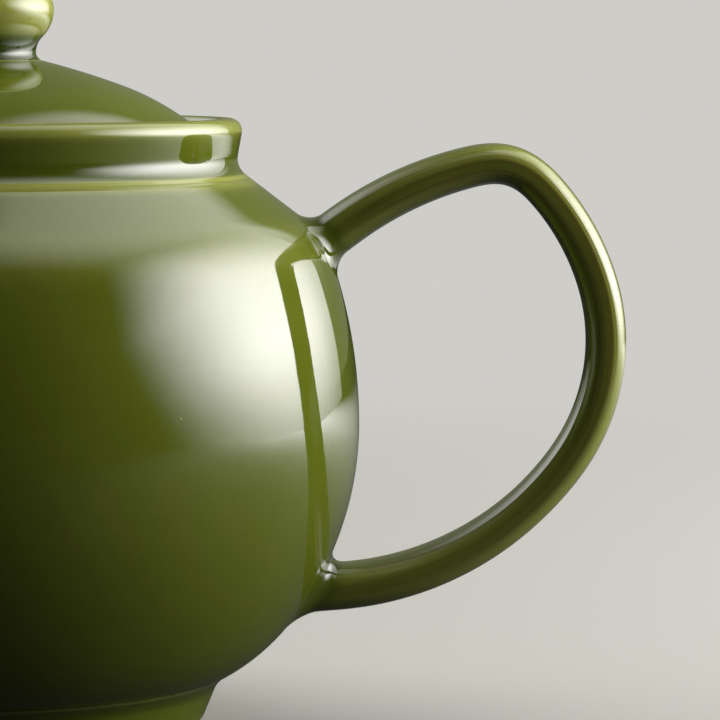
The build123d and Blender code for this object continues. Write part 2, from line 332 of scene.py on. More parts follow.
upper_round = side_round(shoulder, shoulder_round)
lower_round = side_round(base, base_round)
upper = (belly_radius - upper_round, belly_height)
lower = (belly_radius - lower_round, belly_height)
upper_turn = atan2(shoulder[1] - upper[1], shoulder[0] - upper[0])
lower_turn = atan2(base[1] - lower[1], base[0] - lower[0])
joint_offset = (joint_radius - shoulder[0], joint_height - shoulder[1])
cone_turn = atan2(joint_offset[1], joint_offset[0]) - acos(shoulder_round / hypot(*joint_offset))
globe_arcs = [
    (base, base_round, -pi / 2, lower_turn),
    (lower, lower_round, lower_turn, 0),
    (upper, upper_round, 0, upper_turn),
    (shoulder, shoulder_round, upper_turn, cone_turn),
]
print("side rounds in mm", round(upper_round / mm, 1), round(lower_round / mm, 1))

# %% [markdown]
# ## Outlines
# An outline is a list of points, radius then height, that runs anticlockwise: out along the
# bottom, up the outside and back in over the top. Turned round the axis, its faces then point
# outwards. Three helpers write outlines: one walks an arc, one puts rounds on corners, and one
# divides long straight runs so that the glaze shades evenly along them.

# %% Outline helpers
def arc(centre, radius, start, end, longest=1.2 * mm):
    """Points along an arc from one angle to another, in radians."""
    turn = abs(end - start)
    steps = max(ceil(turn / radians(7)), ceil(turn * radius / longest), 2)
    angles = [start + (end - start) * i / steps for i in range(steps + 1)]
    return [(centre[0] + radius * cos(a), centre[1] + radius * sin(a)) for a in angles]


def rounded(corners, closed=True):
    """An outline through corners given as radius, height and the round on each."""
    points = []
    count = len(corners)
    for i, (x, z, size) in enumerate(corners):
        if size == 0 or (not closed and i in (0, count - 1)):
            points.append((x, z))
            continue
        here = Vector((x, z))
        back = (Vector(corners[i - 1][:2]) - here).normalized()
        on = (Vector(corners[(i + 1) % count][:2]) - here).normalized()
        half = back.angle(on) / 2
        centre = here + (back + on).normalized() * size / sin(half)
        first = here + back * size / tan(half) - centre
        last = here + on * size / tan(half) - centre
        start = atan2(first.y, first.x)
        end = atan2(last.y, last.x)
        end += 2 * pi * round((start - end) / (2 * pi))
        points += arc(centre, size, start, end)
    return points + points[:1] if closed else points


def divided(points, longest=1.5 * mm):
    """The same outline with its long runs divided, and no point twice in a row."""
    out = [points[0]]
    for (x0, z0), (x1, z1) in zip(points, points[1:]):
        length = hypot(x1 - x0, z1 - z0)
        if length < 1e-7:
            continue
        steps = ceil(length / longest)
        out += [(x0 + (x1 - x0) * i / steps, z0 + (z1 - z0) * i / steps) for i in range(1, steps + 1)]
    return out


print("outline helpers ready")

# %% [markdown]
# ## The wheel
# A potter's wheel is a rule: every point of the outline goes round the axis. Blender's Spin could
# do it, but as Geometry Nodes the rule stays readable, and its inputs name what a potter would
# change. A flat grid gives the rows and columns. Each row takes its radius and height from one
# point of the outline, and each column its turn. The doubles at the seam and the poles are then
# merged, and edges sharper than a set angle are kept crisp.

# %% A small writer for Geometry Nodes
class Tree:
    """A Geometry Nodes tree with named inputs, being written."""

    def __init__(self, name, inputs):
        self.group = bpy.data.node_groups.new(name, "GeometryNodeTree")
        self.group.is_modifier = True
        for title, (kind, value) in inputs.items():
            socket = self.group.interface.new_socket(title, in_out="INPUT", socket_type=kind)
            if value is not None:
                socket.default_value = value
        self.group.interface.new_socket("Geometry", in_out="OUTPUT", socket_type="NodeSocketGeometry")
        self.given = self.group.nodes.new("NodeGroupInput").outputs

    def node(self, kind, settings=None, sockets=None):
        made = self.group.nodes.new(kind)
        for name, value in (settings or {}).items():
            setattr(made, name, value)
        for key, value in (sockets or {}).items():
            if isinstance(value, bpy.types.NodeSocket):
                self.group.links.new(value, made.inputs[key])
            else:
                made.inputs[key].default_value = value
        return made

    def math(self, operation, *terms):
        return self.node("ShaderNodeMath", {"operation": operation}, dict(enumerate(terms))).outputs[0]

    def finish(self, geometry, finish):
        """Ends the tree: one real mesh with one finish."""
        real = self.node("GeometryNodeRealizeInstances", None, {0: geometry}).outputs[0]
        sockets = {"Geometry": real, "Material": finish}
        painted = self.node("GeometryNodeSetMaterial", None, sockets).outputs[0]
        self.node("NodeGroupOutput", None, {0: painted})
        return self.group


def one_finish(mesh, finish):
    """Gives a mesh one finish all over."""
    mesh.materials.clear()
    mesh.materials.append(finish)
    mesh.polygons.foreach_set("material_index", np.zeros(len(mesh.polygons), np.int32))
    return mesh


def taken_off(carrier, finish, name):
    """What a carrier's modifiers make, as a plain mesh of its own. The carrier goes."""
    depsgraph = bpy.context.evaluated_depsgraph_get()
    depsgraph.update()
    made = bpy.data.meshes.new_from_object(carrier.evaluated_get(depsgraph))
    bpy.data.objects.remove(carrier)
    made.name = name
    return one_finish(made, finish)


def run_tree(group, mesh, values, name):
    """Runs a tree on a mesh and returns what it makes."""
    carrier = put(name, mesh)
    modifier = carrier.modifiers.new("tree", "NODES")
    modifier.node_group = group
    for item in group.interface.items_tree:
        if item.in_out == "INPUT" and item.name in values:
            modifier[item.identifier] = values[item.name]
    return taken_off(carrier, values["Finish"], name)


print("tree writer ready")

# %% The wheel as a tree
wheel = Tree(
    "wheel",
    {
        "Outline": ("NodeSocketGeometry", None),
        "Steps round": ("NodeSocketInt", 256),
        "Sharp above": ("NodeSocketFloat", crisp_angle),
        "Finish": ("NodeSocketMaterial", None),
    },
)
size_of = wheel.node("GeometryNodeAttributeDomainSize", {"component": "MESH"}, {0: wheel.given["Outline"]})
rows = size_of.outputs["Point Count"]
columns = wheel.math("ADD", wheel.given["Steps round"], 1)
sockets = {"Size X": 1.0, "Size Y": 1.0, "Vertices X": columns, "Vertices Y": rows}
grid = wheel.node("GeometryNodeMeshGrid", None, sockets).outputs["Mesh"]
at = wheel.node("ShaderNodeSeparateXYZ", None, {0: wheel.node("GeometryNodeInputPosition").outputs[0]})
last_row = wheel.math("SUBTRACT", rows, 1)
row = wheel.math("ROUND", wheel.math("MULTIPLY", wheel.math("ADD", at.outputs["Y"], 0.5), last_row))
turn = wheel.math("MULTIPLY", wheel.math("ADD", at.outputs["X"], 0.5), 2 * pi)
settings = {"data_type": "FLOAT_VECTOR", "domain": "POINT"}
outline_place = wheel.node("GeometryNodeInputPosition").outputs[0]
sockets = {"Geometry": wheel.given["Outline"], "Value": outline_place, "Index": row}
taken = wheel.node("GeometryNodeSampleIndex", settings, sockets).outputs["Value"]
point = wheel.node("ShaderNodeSeparateXYZ", None, {0: taken})
sockets = {
    "X": wheel.math("MULTIPLY", point.outputs["X"], wheel.math("COSINE", turn)),
    "Y": wheel.math("MULTIPLY", point.outputs["X"], wheel.math("SINE", turn)),
    "Z": point.outputs["Z"],
}
turned_place = wheel.node("ShaderNodeCombineXYZ", None, sockets).outputs[0]
turned = wheel.node("GeometryNodeSetPosition", None, {"Geometry": grid, "Position": turned_place})
merged = wheel.node("GeometryNodeMergeByDistance", None, {0: turned.outputs[0], "Distance": 1e-6})
edge_angle = wheel.node("GeometryNodeInputMeshEdgeAngle").outputs["Unsigned Angle"]
crisp = wheel.node("FunctionNodeCompare", None, {0: edge_angle, 1: wheel.given["Sharp above"]})
sockets = {0: merged.outputs[0], "Shade Smooth": True}
smooth = wheel.node("GeometryNodeSetShadeSmooth", {"domain": "FACE"}, sockets)
sockets = {0: smooth.outputs[0], "Selection": crisp.outputs[0], "Shade Smooth": False}
shaded = wheel.node("GeometryNodeSetShadeSmooth", {"domain": "EDGE"}, sockets)
wheel_tree = wheel.finish(shaded.outputs[0], wheel.given["Finish"])
print("the wheel has", len(wheel_tree.nodes), "nodes")


# %% Throwing a piece
def throw(name, points, finish):
    """Turns an outline round the axis and returns the mesh."""
    outline = bpy.data.meshes.new(name + "_outline")
    edges = [(i, i + 1) for i in range(len(points) - 1)]
    outline.from_pydata([(x, 0, z) for x, z in points], edges, [])
    values = {"Steps round": 256, "Sharp above": crisp_angle, "Finish": finish}
    made = run_tree(wheel_tree, outline, values, name)
    print(name, len(points), "outline points,", len(made.polygons), "faces")
    return made


def show(name, mesh, body, slot, *nodes):
    """Puts a finished mesh in the scene as a piece of the pot."""
    piece = put(name, mesh)
    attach(piece, body)
    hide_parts(*nodes)
    return piece


# %% [markdown]
# ## The glaze
# The pot wears one thick green glaze: coloured glass melted over pale clay. Three things make it
# look real. It runs off every proud edge and lies deep in every hollow, so edges turn thin and
# yellow-green and creases turn dark. It is never quite even, so the green drifts a little. And
# its face is glassy but not flat: it has a faint ripple, and here and there a small raised grain,
# whose colour is lightened as a painted sparkle.
# The depth is worked out from each mesh's own curvature and stored on it as `glaze_depth`, which
# is 0.5 where the surface is nearly flat, less on a proud edge and more in a hollow.

# %% Depth of the glaze from the shape
def store(mesh, name, values):
    """Stores a number or a vector for every point of a mesh."""
    kind, key = ("FLOAT", "value") if values.ndim == 1 else ("FLOAT_VECTOR", "vector")
    layer = mesh.attributes.new(name, kind, "POINT")
    layer.data.foreach_set(key, values.astype(np.float32).ravel())


def pool_glaze(mesh, hidden=(), reach=4, full=0.16 / mm):
    """Stores glaze_depth, from 0 on a proud edge to 1 in a hollow, and 0.5 on hidden points."""
    count = len(mesh.vertices)
    places = np.zeros(count * 3)
    mesh.vertices.foreach_get("co", places)
    places = places.reshape(-1, 3)
    normals = np.zeros(count * 3, np.float32)
    mesh.vertices.foreach_get("normal", normals)
    normals = normals.reshape(-1, 3).astype(float)
    ends = np.zeros(len(mesh.edges) * 2, np.int64)
    mesh.edges.foreach_get("vertices", ends)
    first, second = ends.reshape(-1, 2).T
    step = places[second] - places[first]
    length = np.linalg.norm(step, axis=1) + 1e-9
    bend = ((normals[second] - normals[first]) * step).sum(1) / length**2
    total = np.bincount(first, bend * length, count) + np.bincount(second, bend * length, count)
    weight = np.bincount(first, length, count) + np.bincount(second, length, count)
    curvature = total / np.maximum(weight, 1e-9)
    hidden = list(hidden)
    for _ in range(reach):
        curvature[hidden] = 0
        spread = np.bincount(first, curvature[second], count) + np.bincount(second, curvature[first], count)
        near = np.bincount(first, minlength=count) + np.bincount(second, minlength=count)
        curvature = 0.5 * curvature + 0.5 * spread / np.maximum(near, 1)
    store(mesh, "glaze_depth", 0.5 - 0.5 * np.tanh(curvature / full))
    return mesh


# %% Glaze and clay
thin_glaze = (0.235, 0.255, 0.050, 1)
even_glaze = (0.076, 0.096, 0.0070, 1)
deep_glaze = (0.022, 0.034, 0.002, 1)
painted_reflection_brown = (0.095, 0.068, 0.012, 1)
bare_body = (0.50, 0.40, 0.29, 1)


def glaze_colour(paint, place):
    """The green, by how deep the glaze lies, with its slow drift over the ware."""
    depth = paint.node("ShaderNodeAttribute", {"attribute_name": "glaze_depth"}).out("Fac")
    drift = paint.noise(place, 34 * mm, 3.0)
    fine = paint.noise(place, 2.6 * mm, 3.0, 0.6)
    lying = depth + (drift - 0.5) * 0.16 + (fine - 0.5) * 0.05
    thinned = paint.mix(lying.between(0.10, 0.50), thin_glaze, even_glaze)
    return paint.mix(lying.between(0.52, 0.86), thinned, deep_glaze)


def glaze_face(paint, place, more=0):
    """The glaze's normal, with a slow ripple, a fine one and small raised specks, and the specks' mask for
    their painted sparkle.
    """
    ripple = paint.noise(place, 13 * mm, 2.0)
    orange = paint.noise(place, 1.7 * mm, 2.0)
    dots = paint.node("ShaderNodeTexVoronoi", {"feature": "F1"}, {"Vector": place, "Scale": 1 / (3.2 * mm)})
    chance = paint.node("ShaderNodeSeparateColor", None, {0: dots.out("Color")}).out(0)
    grain_and_sparkle = (1 - dots.out("Distance").between(0.02, 0.085)) * chance.between(0.90, 0.93)
    height = ripple * 0.045 + orange * 0.0018 + grain_and_sparkle * 0.02 + more
    sockets = {"Strength": 1.0, "Distance": 1 * mm, "Height": height}
    return paint.node("ShaderNodeBump", None, sockets).out(), grain_and_sparkle


def glaze_over(name, streaks=None):
    """A glaze material. Streaks ridge it, as where fingers drew the clay, and turn it browner as a painted
    reflection.
    """
    material = bpy.data.materials.new(name)
    coat = Paint(material)
    place = coat.place()
    colour = glaze_colour(coat, place)
    ridges = 0
    if streaks:
        ridge, free = streaks(coat)
        # Browner along the streaks: a painted reflection on the strap, not a colour of the glaze.
        colour = coat.mix(ridge.between(0.52, 0.72) * 0.8 * free, colour, painted_reflection_brown)
        ridges = ridge * 0.24 * free
    normal, grain_sparkle = glaze_face(coat, place, ridges)
    # The grains are also lightened towards the thin green: a painted sparkle.
    sockets = {
        "Base Color": coat.mix(grain_sparkle * 0.5, colour, thin_glaze),
        "Roughness": coat.noise(place, 9 * mm, 2.0) * 0.025 + 0.022,
        "Normal": normal,
        "IOR": 1.6,
    }
    coat.finish(coat.node("ShaderNodeBsdfPrincipled", None, sockets).out())
    return material


glaze = glaze_over("green_glaze")
print("glaze ready")

# %% [markdown]
# ## The globe
# The body of the pot is thrown as one round wall with a flat bottom, cut away a little under the
# foot. Its outline is a row of arcs that run into each other without a corner, ending in the short
# straight slope that the collar carries on. The inside follows at the wall's thickness.

# %% Globe outline
def globe_side(inset):
    """The globe's side from the bottom to the collar joint, moved in by inset."""
    points = []
    for centre, radius, start, end in globe_arcs:
        points += arc(centre, radius - inset, start, end, (1.2 + 160 * inset) * mm)
    x, z = points[-1]
    points.append((x - (joint_height - z) * tan(cone_turn), joint_height))
    return points


outside = [(0, underside)] + globe_side(0)
inside = [(0, underside + wall)] + globe_side(wall)
globe_outline = divided(outside, 1.5 * mm) + divided(inside, 3 * mm)[::-1]
globe_mesh = throw("globe", globe_outline, glaze)

# %% [markdown]
# ## The spout's line and the strainer
# Under the spout the wall is pierced with small round holes that hold back the leaves. They repeat
# on rings, so Geometry Nodes lays them out: a circle of points for each ring, a small cylinder on
# every point, and one cut through the wall. The rings lie square to the line that the spout
# starts on, so that line comes first.

# %% A line of easy bends
def walk(start, heading, bends, lead, tail, step=0.25 * mm, ease=7 * mm):
    """Points along tangent arcs in the XZ plane, with straight ends and eased changes of bend."""
    turns = [(0, lead)]
    for radius, angle in bends:
        turns.append((radians(angle) / (radius * abs(radians(angle))), radius * abs(radians(angle))))
    turns.append((0, tail))
    heading = radians(heading)
    place = np.array(start) - lead * np.array((cos(heading), sin(heading)))
    points = [place]
    for curve, length in turns:
        count = max(1, round(length / step))
        for _ in range(count):
            middle = heading + curve * length / count / 2
            place = place + length / count * np.array((cos(middle), sin(middle)))
            heading += curve * length / count
            points.append(place)
    points = np.array(points)
    wide = 2 * (round(ease / step) // 2) + 1
    padded = np.pad(points, ((wide // 2, wide // 2), (0, 0)), "reflect", reflect_type="odd")
    eased = [np.convolve(padded[:, axis], np.ones(wide) / wide, "valid") for axis in (0, 1)]
    return np.array(eased).T


class Line:
    """A line to build a tube on: the place and direction at any distance along it."""

    def __init__(self, points, square=2.0):
        self.points = points
        self.square = square
        self.far = np.concatenate([[0], np.cumsum(np.linalg.norm(np.diff(points, axis=0), axis=1))])
        self.length = self.far[-1]
        self.ways = np.gradient(points, self.far, axis=0)

    def at(self, distance):
        x, z = (np.interp(distance, self.far, self.points[:, axis]) for axis in (0, 1))
        dx, dz = (np.interp(distance, self.far, self.ways[:, axis]) for axis in (0, 1))
        size = np.hypot(dx, dz)
        return x, z, dx / size, dz / size


spout_start = (15 * mm - belly_radius, 50 * mm)
spout_rise = 16
spout_heading = 180 - spout_rise
spout_bends = [(58 * mm, -46), (95 * mm, 14)]
spout_tip_length = 17.6 * mm
spout_lead = 22 * mm
spout_line = Line(walk(spout_start, spout_heading, spout_bends, spout_lead, spout_tip_length))
print("spout line in mm", round(spout_line.length / mm, 1))

# %% The strainer as a tree
strainer = Tree(
    "strainer",
    {
        "Globe": ("NodeSocketGeometry", None),
        "Hole radius": ("NodeSocketFloat", 1.35 * mm),
        "Ring spacing": ("NodeSocketFloat", 5 * mm),
        "Centre": ("NodeSocketVector", (0, 0, 0)),
        "Tilt": ("NodeSocketVector", (0, 0, 0)),
        "Finish": ("NodeSocketMaterial", None),
    },
)
settings = {"fill_type": "NGON"}
sockets = {"Vertices": 24, "Radius": strainer.given["Hole radius"], "Depth": 30 * mm}
drill = strainer.node("GeometryNodeMeshCylinder", settings, sockets).outputs["Mesh"]
middle = strainer.node("GeometryNodeMeshLine", None, {"Count": 1}).outputs[0]
rings = [middle]
for ring, holes in ((1, 6), (2, 12)):
    radius = strainer.math("MULTIPLY", strainer.given["Ring spacing"], ring)
    sockets = {"Vertices": holes, "Radius": radius}
    rings.append(strainer.node("GeometryNodeMeshCircle", None, sockets).outputs[0])
joined = strainer.node("GeometryNodeJoinGeometry")
for ring in rings:
    strainer.group.links.new(ring, joined.inputs[0])
sockets = {"Points": joined.outputs[0], "Instance": drill}
drills = strainer.node("GeometryNodeInstanceOnPoints", None, sockets).outputs[0]
sockets = {0: drills, "Translation": strainer.given["Centre"], "Rotation": strainer.given["Tilt"]}
tilted = strainer.node("GeometryNodeTransform", None, sockets).outputs[0]
real = strainer.node("GeometryNodeRealizeInstances", None, {0: tilted}).outputs[0]
settings = {"operation": "DIFFERENCE", "solver": "EXACT"}
sockets = {"Mesh 1": strainer.given["Globe"], "Mesh 2": real}
pierced = strainer.node("GeometryNodeMeshBoolean", settings, sockets).outputs[0]
strainer_tree = strainer.finish(pierced, strainer.given["Finish"])
rise = radians(spout_rise)
along = 13 * mm
values = {
    "Centre": (spout_start[0] - along * cos(rise), 0, spout_start[1] + along * sin(rise)),
    "Tilt": (0, radians(-90 + spout_rise), 0),
    "Finish": glaze,
}
globe_mesh = run_tree(strainer_tree, globe_mesh, values, "globe")
globe_mesh.set_sharp_from_angle(angle=crisp_angle)
globe = show("globe_body", pool_glaze(globe_mesh), "pot", "glaze", "globe")
print("globe with strainer", len(globe_mesh.polygons), "faces")

# %% [markdown]
# ## The collar
# The mouth is finished with a collar: a flared lip outside, and inside a ledge, the gallery, that
# the lid sits on. It is thrown too. The lip's edge is full and round where the glaze runs thin,
# and the crease under it is where the glaze gathers.

# %% Collar outline
mouth_radius = joint_radius - 5.45 * mm
ledge_height = lid_low.z
ledge_radius = mouth_radius - 6 * mm
waist_inset = 2.55 * mm
collar_corners = [
    (ledge_radius, joint_height, 0),
    (joint_radius, joint_height, 0),
    (joint_radius - waist_inset, joint_height + waist_inset / tan(cone_turn), 4 * mm),
    (mouth_radius + 4.6 * mm, lip_height, 2.4 * mm),
    (mouth_radius, lip_height, 1.5 * mm),
    (mouth_radius, ledge_height, 0.8 * mm),
    (ledge_radius, ledge_height, 1.2 * mm),
]
collar_mesh = throw("collar", divided(rounded(collar_corners), 0.8 * mm), glaze)
print("collar mouth in mm", round(mouth_radius / mm, 2))


# %% The notch in the gallery
def cut(mesh, cutter, name):
    """The mesh with the cutter's space taken out of it, as a new mesh with crisp new edges."""
    carrier = put(name, mesh)
    tool = put("cutter", cutter)
    modifier = carrier.modifiers.new("cut", "BOOLEAN")
    modifier.object = tool
    modifier.solver = "EXACT"
    made = taken_off(carrier, mesh.materials[0], name)
    bpy.data.objects.remove(tool)
    made.set_sharp_from_angle(angle=crisp_angle)
    return made


def block(size, middle):
    """A box being edited, of a size and about a middle."""
    shape = bmesh.new()
    matrix = Matrix.Translation(middle) @ Matrix.Diagonal((*size, 1))
    bmesh.ops.create_cube(shape, size=1, matrix=matrix)
    return shape


lug_low, lug_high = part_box("lid_lug")
notch_size = (11.6 * mm, lug_high.y - lug_low.y + 5 * mm, 2 * (ledge_height - joint_height) + 2 * mm)
notch_middle = (-ledge_radius, 0, ledge_height - notch_size[2] / 2 + 2 * mm)
notch = as_mesh(block(notch_size, notch_middle), "notch")
collar_mesh = cut(collar_mesh, notch, "collar")
collar = show("collar_lip", pool_glaze(collar_mesh), "pot", "glaze", "collar")
print("collar with notch", len(collar_mesh.polygons), "faces")

# %% [markdown]
# ## Joints in clay
# A handle or a spout doesn't just touch the pot. Slip is worked round the joint, and the glaze
# fills what is left, so each root runs into the wall in a small hollow round. A ball rolled along
# the corner gives that shape: where it touches the tube its distance from the wall is its radius,
# and where it touches the wall its distance from the tube is its radius. For each line along the
# tube, a search finds where those two distances are met, ring by ring, and a last ring goes on
# into the wall so that the mesh is closed.

# %% Distance from the globe
def globe_gap(x, y, z):
    """How far points are outside the globe's face, less than 0 inside it."""
    reach = np.hypot(x, y)
    gaps = []
    for centre, radius, start, end in globe_arcs:
        angle = np.clip(np.arctan2(z - centre[1], reach - centre[0]), start, end)
        gaps.append(np.cos(angle) * (reach - centre[0]) + np.sin(angle) * (z - centre[1]) - radius)
    return np.max(gaps, axis=0)


def tube_point(line, size, around, distance, grown):
    """Points on a tube along a line, at turns around it and grown outwards by a little."""
    x, z, dx, dz = line.at(distance)
    width, height = size(distance)
    side, top = np.cos(around), np.sin(around)
    power = 2 / line.square
    across = width * np.sign(side) * abs(side) ** power
    up = height * np.sign(top) * abs(top) ** power
    across_way = np.sign(side) * abs(side) ** (2 - power) / width
    up_way = np.sign(top) * abs(top) ** (2 - power) / height
    length = np.hypot(across_way, up_way)
    across = across + grown * across_way / length
    up = up + grown * up_way / length
    return x - dz * up, across, z + dx * up


def meet(line, size, around, grown, gap, inside, outside):
    """The distance along the line at which each point has the wanted gap from the globe."""
    low = np.full_like(around, inside)
    high = np.full_like(around, outside)
    for _ in range(40):
        middle = (low + high) / 2
        far = globe_gap(*tube_point(line, size, around, middle, grown)) > gap
        low, high = np.where(far, low, middle), np.where(far, middle, high)
    return (low + high) / 2


def root_rings(line, size, around, ball, inside, outside, sunk, steps=16):
    """Rings from inside the wall out over the rolled round, and where the tube proper begins."""
    tuck = 0.02 * mm
    rings = []
    sunk_at = meet(line, size, around, ball, -sunk, inside, outside)
    rings.append(tube_point(line, size, around, sunk_at, ball))
    for i in range(steps, -1, -1):
        turn = pi / 2 * sin(pi / 2 * i / steps)
        grown = ball * (1 - cos(turn))
        gap = ball * (1 - sin(turn)) - tuck * sin(turn)
        start = meet(line, size, around, grown, gap, inside, outside)
        rings.append(tube_point(line, size, around, start, grown))
    return rings, start


def closed_tube(name, rings, finish, cap_start, cap_end, crisp=()):
    """A mesh through rings of points, with its ends closed or joined to each other."""
    count = len(rings[0][0])
    shape = bmesh.new()
    made = [[shape.verts.new(p) for p in zip(*ring)] for ring in rings]
    pairs = list(zip(made, made[1:])) + ([] if cap_start else [(made[-1], made[0])])
    for low, high in pairs:
        for i in range(count):
            shape.faces.new((low[i], low[(i + 1) % count], high[(i + 1) % count], high[i]))
    for ring, wanted in ((made[0], cap_start), (made[-1], cap_end)):
        if wanted:
            middle = shape.verts.new(sum((v.co for v in ring), Vector()) / count)
            for i in range(count):
                shape.faces.new((middle, ring[i], ring[(i + 1) % count]))
    bmesh.ops.recalc_face_normals(shape, faces=shape.faces)
    for face in shape.faces:
        face.smooth = True
    for number in crisp:
        ring = made[number]
        for i in range(count):
            edge = shape.edges.get((ring[i], ring[(i + 1) % count]))
            edge.smooth = False
    mesh = as_mesh(shape, name)
    mesh.materials.append(finish)
    print(name, len(mesh.polygons), "faces")
    return mesh


# %% [markdown]
# ## The handle
# A strap of clay pulled thin, oval in section, and bent into an ear: up from the shoulder, sharply
# over at the top and down in a long sweep to the lower belly. It swells a little towards each root,
# where the hand needs strength.

# %% Handle
handle_start = (belly_radius - 3.7 * mm, joint_height - 9.8 * mm)
handle_bends = [
    (67.7 * mm, -25.65),
    (11.3 * mm, -56.55),
    (47.3 * mm, -27.8),
    (39.2 * mm, -52.7),
    (58.8 * mm, -50.3),
]
run_in = 0.45 * belly_radius
handle_line = Line(walk(handle_start, 37.2, handle_bends, run_in, run_in), square=2.9)


def handle_size(distance):
    """Half the strap's width and half its thickness."""
    from_root = np.minimum(distance, handle_line.length - distance) - run_in
    swell = 1.0 * mm * np.clip(1 - np.maximum(from_root, 0) / (40 * mm), 0, 1)
    return (15.6 * mm + swell) / 2, (7.6 * mm + swell) / 2


around = np.linspace(0, 2 * pi, 80, endpoint=False)
ball = 3.2 * mm
middle = handle_line.length / 2
upper_rings, upper_start = root_rings(handle_line, handle_size, around, ball, 0, middle, 0.6 * mm)
length = handle_line.length
lower_rings, lower_start = root_rings(handle_line, handle_size, around, ball, length, middle, 0.6 * mm)
span = np.linspace(0, 1, 150)[1:-1]
strap = [
    tube_point(handle_line, handle_size, around, upper_start + t * (lower_start - upper_start), 0)
    for t in span
]
rings = upper_rings + strap + lower_rings[::-1]


def strap_streaks(coat):
    """Long streaks that run along the strap and change across it."""
    drawn = coat.node("ShaderNodeAttribute", {"attribute_name": "strap"}).out("Vector")
    free = coat.node("ShaderNodeAttribute", {"attribute_name": "strap_free"}).out("Fac")
    return coat.noise(drawn, 0.42, 3.0, 0.6), free


handle_glaze = glaze_over("handle_glaze", strap_streaks)
handle_mesh = closed_tube("handle", rings, handle_glaze, True, True, crisp=(1, len(rings) - 2))
strap_place = np.zeros((len(handle_mesh.vertices), 3), np.float32)
drawn_out = np.linspace(0, 0.5, len(rings))
strap_place[: len(rings) * len(around)] = [
    (cos(turn), sin(turn), far) for far in drawn_out for turn in around
]
store(handle_mesh, "strap", strap_place)
from_root = np.minimum(np.arange(len(rings)), np.arange(len(rings))[::-1]) - len(upper_rings)
strap_free = np.zeros(len(handle_mesh.vertices), np.float32)
strap_free[: len(rings) * len(around)] = np.repeat(np.clip(from_root / 8, 0, 1), len(around))
store(handle_mesh, "strap_free", strap_free)
last_sunk = (len(rings) - 3) * len(around)
sunk_points = [*range(3 * len(around)), *range(last_sunk, len(handle_mesh.vertices))]
handle = show("pulled_handle", pool_glaze(handle_mesh, sunk_points), "pot", "glaze", "handle")

# %% [markdown]
# ## The spout
# The spout is cast hollow in an easy S and cut to fit the wall, over the strainer. It is widest at
# the root, narrows fastest there, and ends in a thin round lip that cuts the last drop. Its rings
# run out along the outside, over the lip and back down the bore.

# %% Spout
spout_full = spout_line.length - spout_lead
root_half = (21 * mm, 23 * mm)
tip_half = (8.3 * mm, 8.5 * mm)
tip_round = 1.1 * mm


def spout_size(distance, root_wall=0, tip_wall=0):
    """Half the spout's width and half its height, less its wall."""
    taper = (np.clip(distance - spout_lead, 0, spout_full) / spout_full) ** 0.62
    thick = root_wall + (tip_wall - root_wall) * taper
    return tuple(big + (small - big) * taper - thick for big, small in zip(root_half, tip_half))


def bore_size(distance):
    return spout_size(distance, 4 * mm, 2.4 * mm)


around = np.linspace(0, 2 * pi, 96, endpoint=False)
middle = spout_lead + spout_full / 2
rings, start = root_rings(spout_line, spout_size, around, 6 * mm, 0, middle, 0.8 * mm, 20)
end = spout_line.length - tip_round
for t in np.linspace(0, 1, 90)[1:]:
    rings.append(tube_point(spout_line, spout_size, around, start + t * (end - start), 0))
for turn in np.linspace(0, pi, 15)[1:]:
    at = end + tip_round * sin(turn)
    outer = tube_point(spout_line, spout_size, around, np.full_like(around, at), 0)
    inner = tube_point(spout_line, bore_size, around, np.full_like(around, at), 0)
    share = (1 - cos(turn)) / 2
    rings.append(tuple(a + (b - a) * share for a, b in zip(outer, inner)))
bore_start = meet(spout_line, bore_size, around, 0, -0.8 * mm, 0, middle)
for t in np.linspace(0, 1, 60)[1:]:
    rings.append(tube_point(spout_line, bore_size, around, end + t * (bore_start - end), 0))
spout_mesh = closed_tube("spout", rings, glaze, False, False, crisp=(0, 1, len(rings) - 1))
last_sunk = (len(rings) - 2) * len(around)
sunk_points = [*range(3 * len(around)), *range(last_sunk, len(spout_mesh.vertices))]
spout = show("cast_spout", pool_glaze(spout_mesh, sunk_points), "pot", "glaze", "spout")

# %% [markdown]
# ## The foot
# The pot stands on a thrown ring. Its side leans out and runs into the belly in a small hollow
# round, found by the same rolled ball. The flat ring underneath is wiped clean before firing, or
# the pot would stick to the kiln shelf, so it shows bare clay with a thin rusty edge where the
# glaze stops.

# %% Foot outline
def rolled(place, ball, low, high, steps=8):
    """Points of a round between a straight side and the globe, from the side to the globe."""
    points = []
    for i in range(steps + 1):
        turn = pi / 2 * i / steps
        grown = ball * (1 - cos(turn))
        wanted = ball * (1 - sin(turn))
        near, away = low, high
        for _ in range(40):
            middle = (near + away) / 2
            x, z = place(middle, grown)
            near, away = (near, middle) if globe_gap(x, 0, z) > wanted else (middle, away)
        points.append(place((near + away) / 2, grown))
    return points


splay = radians(22.5)
foot_radius = 42.5 * mm
foot_bore = 37.4 * mm
foot_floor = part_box("foot_ring")[0].z


def foot_side(height, grown):
    return foot_radius + height * tan(splay) + grown * cos(splay), height - grown * sin(splay)


def foot_inside(height, grown):
    return foot_bore - grown, height


outer_joint = rolled(foot_side, 1.6 * mm, 20 * mm, 0)
inner_joint = rolled(foot_inside, 1.4 * mm, 20 * mm, 0)
foot_corners = [
    (foot_bore, outer_joint[0][1] * 0.5, 0),
    (foot_bore, foot_floor, 1.2 * mm),
    (foot_radius, foot_floor, 2.5 * mm),
    (*outer_joint[0], 0),
]
foot_outline = rounded(foot_corners, closed=False) + outer_joint[1:]
foot_outline += [(outer_joint[-1][0] - 0.5 * mm, outer_joint[-1][1] + 0.6 * mm)]
foot_outline += [(inner_joint[-1][0] + 0.5 * mm, inner_joint[-1][1] + 0.6 * mm)]
foot_outline += inner_joint[::-1] + foot_outline[:1]

